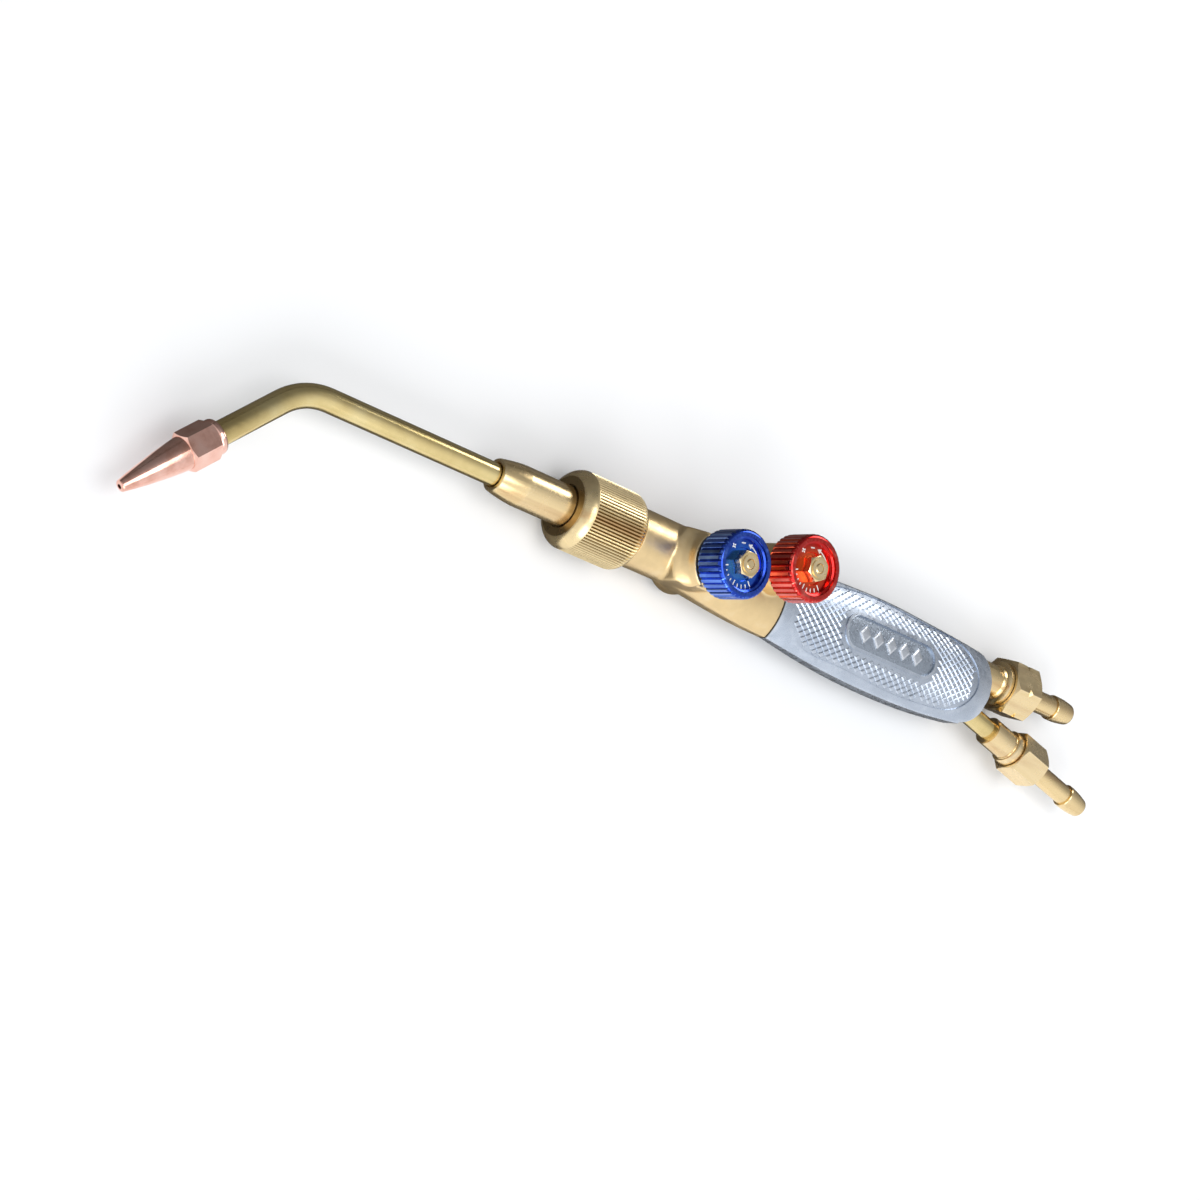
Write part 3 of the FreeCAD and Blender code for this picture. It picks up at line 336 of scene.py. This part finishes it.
def anodised(name, valve, deep, bright, painted_dish_reflection):
    """Glossy dyed aluminium: deep colour, painted highlights on the paler rib crests and a painted
    reflection that brightens the dish round the nut.
    """
    m = Shader(name, deep, 0.20)
    colour = m.ramp(m.noise(160, 3), [(0.30, tinted(deep, 0.80)), (0.55, deep),
                                      (0.80, tinted(bright, 0.8))])
    # painted highlights on the convex crests of the ribs
    colour = m.mix(m.convex_edges(0.8), colour, bright)
    # painted reflection in the dish, strongest next to the nut and gone by 9.6 mm from its axis
    near_nut = m.spread(m.line_distance(valve, (1, 1, 0)), 0.85, 0.0, 4.6 * MM, 9.6 * MM)
    m.colour(m.mix(near_nut, colour, painted_dish_reflection))
    m.roughness(m.spread(m.noise(700, 2), 0.13, 0.24))
    m.bsdf.inputs["Coat Weight"].default_value = 0.4
    m.bsdf.inputs["Coat Roughness"].default_value = 0.08
    m.normal(m.bump(m.noise(2400, 2), 0.04, 0.1 * MM))
    return m.material


def plain_material(name, base, roughness, metallic, grain, strength):
    """Shared recipe of the small parts: clouded colour, varied gloss, fine grain."""
    m = Shader(name, base, roughness, metallic)
    m.colour(m.ramp(m.noise(grain * 0.2, 3), [(0.3, tinted(base, 0.86)), (0.7, tinted(base, 1.08))]))
    m.roughness(m.spread(m.noise(grain * 0.5, 2), roughness - 0.06, roughness + 0.08))
    m.normal(m.bump(m.noise(grain, 2), strength, 0.1 * MM))
    return m.material


def polished_casting():
    """Lozenges on the handle's plates: the same casting, brighter where hands polish it."""
    base = (0.64, 0.69, 0.78)
    m = Shader("polished_casting", base, 0.20)
    colour = m.ramp(m.noise(300, 3), [(0.3, tinted(base, 0.9)), (0.7, base)])
    m.colour(m.mix(m.convex_edges(0.8), colour, (0.95, 0.97, 1.0)))
    m.roughness(m.spread(m.noise(600, 2), 0.16, 0.28))
    m.normal(m.bump(m.noise(2400, 2), 0.06, 0.1 * MM))
    return m.material


MATERIALS = {
    "forged_brass": forged_brass(),
    "turned_brass": turned_brass(),
    "knurled_brass": knurled_brass(),
    "drawn_brass": drawn_brass(),
    "copper": copper(),
    "cast_aluminium": cast_aluminium(),
    # the last colour of each knob is its painted reflection in the dish
    "blue_anodised": anodised("blue_anodised", OXYGEN_VALVE, (0.010, 0.055, 0.46), (0.16, 0.34, 0.98),
                              (0.02, 0.20, 0.85)),
    "red_anodised": anodised("red_anodised", FUEL_VALVE, (0.60, 0.012, 0.010), (1.0, 0.24, 0.18),
                             (1.0, 0.14, 0.03)),
    "steel": plain_material("steel", (0.58, 0.58, 0.60), 0.28, 1.0, 1800, 0.06),
    "rubber": plain_material("rubber", (0.025, 0.025, 0.027), 0.62, 0.0, 1400, 0.15),
    "polished_casting": polished_casting(),
    "ptfe": plain_material("ptfe", (0.88, 0.88, 0.86), 0.48, 0.0, 1500, 0.08),
}


def paint(obj, material):
    if len(obj.data.materials) == 0:
        obj.data.materials.append(material)
    for slot in obj.material_slots:
        slot.material = material


for part in frame["record"]["subparts"]:
    paint(NODES[part["node"]], MATERIALS[part["material_slot"]])
paint(NODES["union_nut"], MATERIALS["knurled_brass"])


# ---- mesh helpers -----------------------------------------------------------------------------
def new_object(name, bm, slot_name, body, smooth=True, look=None):
    mesh = bpy.data.meshes.new(name)
    bm.normal_update()
    bm.to_mesh(mesh)
    bm.free()
    for face in mesh.polygons:
        face.use_smooth = smooth
    obj = bpy.data.objects.new(name, mesh)
    SCENE.collection.objects.link(obj)
    paint(obj, MATERIALS[look or slot_name])
    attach(obj, body)
    return obj


def applied(obj):
    """The object's mesh with its modifiers worked in; the modifiers are then removed."""
    bpy.context.view_layer.update()
    evaluated = obj.evaluated_get(bpy.context.evaluated_depsgraph_get())
    mesh = bpy.data.meshes.new_from_object(evaluated)
    obj.modifiers.clear()
    return mesh


def bridge(bm, first, second):
    """Quads between two closed rings of vertices."""
    for k in range(len(first)):
        following = (k + 1) % len(first)
        bm.faces.new((first[k], first[following], second[following], second[k]))


def flat_quad(name, corners):
    bm = bmesh.new()
    bm.faces.new([bm.verts.new(corner) for corner in corners])
    mesh = bpy.data.meshes.new(name)
    bm.to_mesh(mesh)
    bm.free()
    obj = bpy.data.objects.new(name, mesh)
    SCENE.collection.objects.link(obj)
    return obj


def shell_bmesh(node):
    """The node's mesh with its split vertices joined again."""
    bm = bmesh.new()
    bm.from_mesh(NODES[node].data)
    bmesh.ops.remove_doubles(bm, verts=bm.verts, dist=1e-7)
    bm.normal_update()
    return bm


# ---- handle: knurled grip fields and marks on the plates ---------------------------------------
FIELD_SEED = PLATE_CENTRE + Vector((34.0, 0, 0)) * MM
KNURL_LENGTH = 3.9 * MM          # long diagonal of a rhomb, along the handle
KNURL_WIDTH = 2.78 * MM          # short diagonal, across it
KNURL_HEIGHT = 0.40 * MM
KNURL_TOP_SHARE = 0.64           # flat top of a rhomb as a share of its cell
KNURL_FOOT = 0.02 * MM           # the rhombs' feet stand this far off the field
SMOOTH_JOIN = 0.93               # cosine of the largest turn between two faces of one field
CORNERS = ((1, 0), (0, 1), (-1, 0), (0, -1))


def field_faces(side, seed):
    """Faces of the handle that join smoothly to the one above (side 1) or below (-1) the seed."""
    bm = shell_bmesh("handle_shell")
    tree = BVHTree.FromBMesh(bm)
    bm.faces.ensure_lookup_table()
    start = Vector((seed.x, seed.y, HANDLE_HIGH.z + 1 if side > 0 else HANDLE_LOW.z - 1))
    hit = tree.ray_cast(start, Vector((0, 0, -side)))
    found = {bm.faces[hit[2]]}
    edge_of_search = list(found)
    while edge_of_search:
        face = edge_of_search.pop()
        for edge in face.edges:
            for near in edge.link_faces:
                if near not in found and near.normal.dot(face.normal) > SMOOTH_JOIN:
                    found.add(near)
                    edge_of_search.append(near)
    others = [face for face in bm.faces if face not in found]
    bmesh.ops.delete(bm, geom=others, context="FACES")
    return bm


def knurl(side, name):
    """Rhombic raised pads over one sunk grip field; the patch runs on under the field's rim."""
    field = field_faces(side, FIELD_SEED)
    tree = BVHTree.FromBMesh(field)
    low_x = min(v.co.x for v in field.verts)
    high_x = max(v.co.x for v in field.verts)
    low_y = min(v.co.y for v in field.verts)
    high_y = max(v.co.y for v in field.verts)
    field.free()
    far = Vector((0, 0, 1.0 * side))

    def floor_point(x, y):
        hit = tree.ray_cast(Vector((x, y, 0)) + far, Vector((0, 0, -side)))
        return hit[0], hit[1]

    bm = bmesh.new()
    half_length, half_width = KNURL_LENGTH / 2, KNURL_WIDTH / 2
    made = {}

    def foot(x, y):
        key = (round(x / MM, 3), round(y / MM, 3))
        if key not in made:
            point, normal = floor_point(x, y)
            if point is None:
                made[key] = None
            else:
                out = normal if normal.z * side > 0 else -normal
                made[key] = bm.verts.new(point + out * KNURL_FOOT)
        return made[key]

    columns = int((high_x - low_x) / half_length) + 2
    rows = int((high_y - low_y) / half_width) + 2
    for column in range(columns):
        for row in range(rows):
            if (column + row) % 2:
                continue
            x, y = low_x + column * half_length, low_y + row * half_width
            base = [foot(x + a * half_length, y + b * half_width) for a, b in CORNERS]
            if None in base:
                continue
            top = []
            for a, b in CORNERS:
                point, normal = floor_point(x + a * half_length * KNURL_TOP_SHARE,
                                            y + b * half_width * KNURL_TOP_SHARE)
                out = normal if normal.z * side > 0 else -normal
                top.append(bm.verts.new(point + out * KNURL_HEIGHT))
            bridge(bm, base, top)
            bm.faces.new(top)
    bmesh.ops.recalc_face_normals(bm, faces=bm.faces)
    if sum(f.normal.z for f in bm.faces) * side < 0:
        bmesh.ops.reverse_faces(bm, faces=bm.faces)
    new_object(name, bm, "cast_aluminium", "torch_body", smooth=False)


knurl(1, "grip_knurl_top")
knurl(-1, "grip_knurl_bottom")


def plate_marks(side, name):
    """Row of raised lozenges on the framed plate."""
    bm_shell = shell_bmesh("handle_shell")
    tree = BVHTree.FromBMesh(bm_shell)
    bm_shell.free()
    bm = bmesh.new()
    count, pitch, half_long, half_wide, height = 5, 7.6 * MM, 3.1 * MM, 4.0 * MM, 0.55 * MM
    levels = ((1.0, -0.05 * MM), (0.94, height * 0.7), (0.62, height))  # share of outline, lift
    for k in range(count):
        x = PLATE_CENTRE.x + (k - (count - 1) / 2) * pitch
        rings = []
        for share, lift in levels:
            ring = []
            for a, b in CORNERS:
                px = x + a * half_long * share
                py = PLATE_CENTRE.y + b * half_wide * share
                hit = tree.ray_cast(Vector((px, py, 1.0 * side)), Vector((0, 0, -side)))
                ring.append(bm.verts.new(hit[0] + Vector((0, 0, lift * side))))
            rings.append(ring)
        for low, high in zip(rings, rings[1:]):
            bridge(bm, low, high)
        bm.faces.new(rings[-1])
    bmesh.ops.recalc_face_normals(bm, faces=bm.faces)
    new_object(name, bm, "cast_aluminium", "torch_body", False, "polished_casting")


plate_marks(1, "plate_marks_top")
plate_marks(-1, "plate_marks_bottom")


# ---- knob marks ---------------------------------------------------------------------------------
MARK_INNER = 6.9 * MM
MARK_OUTER = 9.1 * MM
MARK_THICKNESS = 0.06 * MM
TICKS = 9
TICK_WIDTH = 0.46 * MM
SIGN_LENGTH, SIGN_WIDTH = 1.9 * MM, 0.48 * MM


def knob_marks(gas, valve):
    """Printed dial marks: a graded scale, an arrow for the turning sense, a plus and a minus."""
    floor = NODES[gas + "_knob"]
    tree = BVHTree.FromPolygons([v.co for v in floor.data.vertices],
                                [p.vertices for p in floor.data.polygons])
    middle = (MARK_INNER + MARK_OUTER) / 2
    hit = tree.ray_cast(Vector((valve.x + middle, valve.y, 1.0)), Vector((0, 0, -1)))
    z = hit[0].z
    bm = bmesh.new()

    def slab(points):
        low = [bm.verts.new((x, y, z - MARK_THICKNESS)) for x, y in points]
        high = [bm.verts.new((x, y, z + MARK_THICKNESS)) for x, y in points]
        bm.faces.new(high)
        bridge(bm, low, high)

    def at(angle, radius):
        return valve.x + radius * math.cos(angle), valve.y + radius * math.sin(angle)

    def band(start, stop, inner, outer, steps=10):
        for k in range(steps):
            a = start + (stop - start) * k / steps
            b = start + (stop - start) * (k + 1) / steps
            slab([at(a, inner), at(a, outer), at(b, outer), at(b, inner)])

    def bar(angle, radius, length, width, turn):
        cx, cy = at(angle, radius)
        along = Vector((math.cos(angle + turn), math.sin(angle + turn)))
        across = Vector((-along.y, along.x))
        corners = ((1, 1), (-1, 1), (-1, -1), (1, -1))
        slab([(cx + along.x * length / 2 * i + across.x * width / 2 * j,
               cy + along.y * length / 2 * i + across.y * width / 2 * j) for i, j in corners])

    for k in range(TICKS):
        angle = math.radians(20 + k * 14)
        inner = MARK_INNER if k % 4 == 0 else MARK_INNER + 0.7 * MM
        bar(angle, (inner + MARK_OUTER) / 2, MARK_OUTER - inner, TICK_WIDTH, 0)
    arrow_start, arrow_neck, arrow_point = (math.radians(turn) for turn in (178, 252, 265))
    half_line, half_head = 0.24 * MM, 1.05 * MM
    band(arrow_start, arrow_neck, middle - half_line, middle + half_line)
    slab([at(arrow_neck, middle - half_head), at(arrow_neck, middle + half_head),
          at(arrow_point, middle)])
    minus, plus = math.radians(283), math.radians(318)
    bar(minus, middle, SIGN_LENGTH, SIGN_WIDTH, math.pi / 2)
    bar(plus, middle, SIGN_LENGTH, SIGN_WIDTH, math.pi / 2)
    bar(plus, middle, SIGN_LENGTH, SIGN_WIDTH, 0)
    bmesh.ops.recalc_face_normals(bm, faces=bm.faces)
    new_object(gas + "_knob_marks", bm, "ptfe", gas + "_control", smooth=False)


knob_marks("oxygen", OXYGEN_VALVE)
knob_marks("fuel", FUEL_VALVE)


# ---- fuel connector: straight body up to a stepped collar --------------------------------------
def sharpen(obj, degrees):
    """Smooth shading that breaks at edges sharper than the angle."""
    bm = bmesh.new()
    bm.from_mesh(obj.data)
    for edge in bm.edges:
        edge.smooth = len(edge.link_faces) == 2 and edge.calc_face_angle(0) < math.radians(degrees)
    bm.to_mesh(obj.data)
    bm.free()


def fuel_connector():
    """Lathe form in place of the CAD connector: inlet tube, straight body, collar, bore."""
    front = high_of("fuel_connector").x
    centre = centre_of("fuel_connector")
    # (distance back along the axis, radius) in mm, out along the skin and back through the bore
    profile = [(-14.0, 3.2), (-14.0, 4.9), (-1.6, 4.9), (-1.6, 6.9), (8.6, 6.9), (9.2, 7.3),
               (10.2, 7.5), (10.6, 8.9), (11.0, 9.4), (12.6, 9.4), (12.6, 8.3), (20.8, 8.3),
               (21.6, 7.5), (21.6, 4.6), (20.0, 3.0), (-6.0, 3.0), (-6.0, 3.2)]
    segments = 96
    bm = bmesh.new()
    rings = []
    for station, radius in profile:
        x = front - (station - profile[0][0]) * MM
        ring = []
        for k in range(segments):
            angle = 2 * math.pi * k / segments
            ring.append(bm.verts.new((x, centre.y + radius * MM * math.cos(angle),
                                      centre.z + radius * MM * math.sin(angle))))
        rings.append(ring)
    for first, second in zip(rings, rings[1:] + rings[:1]):
        bridge(bm, first, second)
    bmesh.ops.recalc_face_normals(bm, faces=bm.faces)
    obj = new_object("fuel_connector_body", bm, "turned_brass", "torch_body")
    sharpen(obj, 28)
    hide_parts("fuel_connector")


fuel_connector()


# ---- flame tip: its hexagon turned to the photo's position ---------------------------------------
NECK_BEND = math.radians(44.3)   # direction of the tip, from +X towards +Y
TIP_TURN = math.radians(-25)


def flame_tip():
    """Copy of the CAD tip, turned about the line of its nose through its middle."""
    mesh = NODES["flame_tip"].data.copy()
    obj = bpy.data.objects.new("flame_tip_body", mesh)
    SCENE.collection.objects.link(obj)
    area = sum(face.area for face in mesh.polygons)
    middle = sum((face.center * face.area for face in mesh.polygons), Vector()) / area
    middle.z = AXIS.z
    nose = Vector((math.cos(NECK_BEND), math.sin(NECK_BEND), 0))
    spin = Matrix.Rotation(TIP_TURN, 4, nose)
    mesh.transform(Matrix.Translation(middle) @ spin @ Matrix.Translation(-middle))
    paint(obj, MATERIALS["copper"])
    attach(obj, "neck")
    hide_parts("flame_tip")


flame_tip()


# ---- valve body: the forging with soft blends ---------------------------------------------------
SKIN_VOXEL = 0.42 * MM
SMOOTH_PASSES = 14
FORGED_FRONT = ORIGIN.x + 24.0 * MM      # the skin is smoothed between these two places along X
FORGED_REAR = ORIGIN.x - 43.0 * MM
FORGED_TOP = ORIGIN.z + 18.2 * MM        # and below this height
FRONT_FADE = 6.0 * MM                    # smoothing fades out over these lengths at the front
EDGE_FADE = 1.5 * MM                     # and at the rear and top


def raise_shoulder(mesh):
    """Adds a rim in front of the oxygen boss that carries the shoulder up to under the knob."""
    bm = bmesh.new()
    bm.from_mesh(mesh)
    sections = [(12.0, 10.2, 16.6), (15.4, 10.2, 13.6), (18.5, 10.4, 12.7)]  # height, inner, outer
    steps, half_span = 24, math.radians(57)
    flat_sides = (9.2, 11.8)             # how far the rim reaches to -Y and to +Y, in mm
    loops = []
    for k in range(steps + 1):
        angle = -half_span + 2 * half_span * k / steps
        across, ahead = math.sin(angle), math.cos(angle)
        side = flat_sides[across > 0] / max(abs(across), 0.01)
        points = [(min(outer, side), height) for height, inner, outer in sections]
        points += [(inner, height) for height, inner, outer in reversed(sections)]
        loops.append([bm.verts.new(OXYGEN_VALVE_FOOT + Vector((r * ahead, r * across, h)) * MM)
                      for r, h in points])
    for first, second in zip(loops, loops[1:]):
        bridge(bm, first, second)
    bm.faces.new(loops[0])
    bm.faces.new(list(reversed(loops[-1])))
    bmesh.ops.recalc_face_normals(bm, faces=bm.faces)
    bm.to_mesh(mesh)
    bm.free()


def soft_forging():
    """Remeshed copy of the valve body whose forged skin is smoothed and machined faces kept."""
    mesh = NODES["valve_body"].data.copy()
    raise_shoulder(mesh)
    obj = bpy.data.objects.new("forging", mesh)
    SCENE.collection.objects.link(obj)
    remesh = obj.modifiers.new("remesh", "REMESH")
    remesh.mode = "VOXEL"
    remesh.voxel_size = SKIN_VOXEL
    obj.data = applied(obj)
    group = obj.vertex_groups.new(name="forged")
    for v in obj.data.vertices:
        along = min((FORGED_FRONT - v.co.x) / FRONT_FADE, (v.co.x - FORGED_REAR) / EDGE_FADE, 1.0)
        upward = min((FORGED_TOP - v.co.z) / EDGE_FADE, 1.0)
        group.add([v.index], max(0.0, min(along, upward)), "REPLACE")
    smooth = obj.modifiers.new("blend", "SMOOTH")
    smooth.factor = 0.5
    smooth.iterations = SMOOTH_PASSES
    smooth.vertex_group = "forged"
    obj.data = applied(obj)
    for face in obj.data.polygons:
        face.use_smooth = True
    paint(obj, MATERIALS["forged_brass"])
    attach(obj, "torch_body")
    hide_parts("valve_body")


soft_forging()


# ---- floor, light and camera ---------------------------------------------------------------------
def studio():
    """White floor, and a sky that is brighter towards +Y."""
    reach = 6.0
    floor_z = CAD_BOX[0].z - 0.2 * MM
    floor = flat_quad("studio_floor", [(-reach, -reach, floor_z), (reach, -reach, floor_z),
                                       (reach, reach, floor_z), (-reach, reach, floor_z)])
    m = Shader("studio_floor", (0.90, 0.90, 0.90), 0.9, 0.0)
    m.colour(m.ramp(m.noise(3, 2), [(0.3, (0.895, 0.895, 0.895)), (0.7, (0.91, 0.91, 0.91))]))
    m.bsdf.inputs["Specular IOR Level"].default_value = 0.1
    floor.data.materials.append(m.material)

    world = bpy.data.worlds.new("studio_world")
    SCENE.world = world
    world.use_nodes = True
    tree = world.node_tree
    background = tree.nodes["Background"]
    direction = tree.nodes.new("ShaderNodeTexCoord").outputs["Generated"]
    part = tree.nodes.new("ShaderNodeSeparateXYZ")
    tree.links.new(direction, part.inputs["Vector"])
    gradient = tree.nodes.new("ShaderNodeMapRange")
    gradient.interpolation_type = "SMOOTHSTEP"
    for socket, number in (("From Min", -0.9), ("From Max", 0.7), ("To Min", 0.20), ("To Max", 1.05)):
        gradient.inputs[socket].default_value = number
    tree.links.new(part.outputs["Y"], gradient.inputs["Value"])
    tree.links.new(gradient.outputs["Result"], background.inputs["Strength"])
    background.inputs["Color"].default_value = (0.95, 0.97, 1.0, 1)


def dark_card(name, corners):
    """Dark card, seen only in the metal's reflections, where it darkens the edges that face it."""
    card = flat_quad(name, corners)
    m = Shader(name, (0.10, 0.095, 0.09), 0.8, 0.0)
    m.colour(m.ramp(m.noise(4, 2), [(0.3, (0.09, 0.085, 0.08)), (0.7, (0.12, 0.115, 0.11))]))
    card.data.materials.append(m.material)
    card.visible_camera = False
    card.visible_diffuse = False
    card.visible_shadow = False
    card.visible_transmission = False


def softbox(name, place, target, width, height, power, tint=(1, 1, 1)):
    """Area light of width by height metres and power watts that faces the target."""
    data = bpy.data.lights.new(name, "AREA")
    data.shape = "RECTANGLE"
    data.size, data.size_y = width, height
    data.energy = power
    data.color = tint
    light = bpy.data.objects.new(name, data)
    SCENE.collection.objects.link(light)
    light.location = place
    light.visible_camera = False
    direction = Vector(target) - Vector(place)
    light.rotation_mode = "QUATERNION"
    light.rotation_quaternion = direction.to_track_quat("-Z", "Y")


# The photo's camera, fitted to the outline in the photo: its place, and the directions in the
# frame that run right and up in the picture.
CAMERA_PLACE = ORIGIN + Vector((676.0, 237.0, 831.9)) * MM
CAMERA_RIGHT = Vector((-0.7376737, -0.24601189, 0.62873024))
CAMERA_UP = Vector((0.31448272, -0.94924789, -0.00245044))
CAMERA_LENS = 86.58                      # mm, on a sensor 36 mm wide


def camera():
    data = bpy.data.cameras.new("camera")
    data.sensor_width = 36.0
    data.lens = CAMERA_LENS
    data.clip_start, data.clip_end = 0.01, 50.0
    obj = bpy.data.objects.new("camera", data)
    SCENE.collection.objects.link(obj)
    back = CAMERA_RIGHT.cross(CAMERA_UP)
    turn = Matrix((CAMERA_RIGHT, CAMERA_UP, back)).transposed().to_4x4()
    obj.matrix_world = Matrix.Translation(CAMERA_PLACE) @ turn
    SCENE.camera = obj


studio()
MIDDLE = (CAD_BOX[0] + CAD_BOX[1]) / 2
softbox("key", ORIGIN + Vector((-0.28, -0.34, 0.26)), ORIGIN, 0.20, 0.18, 0.6)
softbox("fill", MIDDLE + Vector((0.20, 1.10, 0.75)), MIDDLE, 1.1, 0.8, 7.0, (0.96, 0.98, 1.0))
softbox("top", MIDDLE + Vector((0.15, 0.10, 1.45)), MIDDLE, 0.9, 0.9, 7.0)
CARD_REACH, CARD_FAR, CARD_NEAR = 1.2, -0.95, 0.012
CARD_LOW, CARD_HIGH = CAD_BOX[0].z + 0.1 * MM, 0.26
dark_card("far_card", [(-CARD_REACH, CARD_FAR, CARD_LOW), (CARD_REACH, CARD_FAR, CARD_LOW),
                       (CARD_REACH, CARD_FAR, CARD_HIGH), (-CARD_REACH, CARD_FAR, CARD_HIGH)])
dark_card("low_card", [(-CARD_REACH, CARD_FAR, CARD_LOW), (CARD_REACH, CARD_FAR, CARD_LOW),
                       (CARD_REACH, CARD_NEAR, CARD_LOW), (-CARD_REACH, CARD_NEAR, CARD_LOW)])
camera()
SCENE.view_settings.view_transform = "Standard"
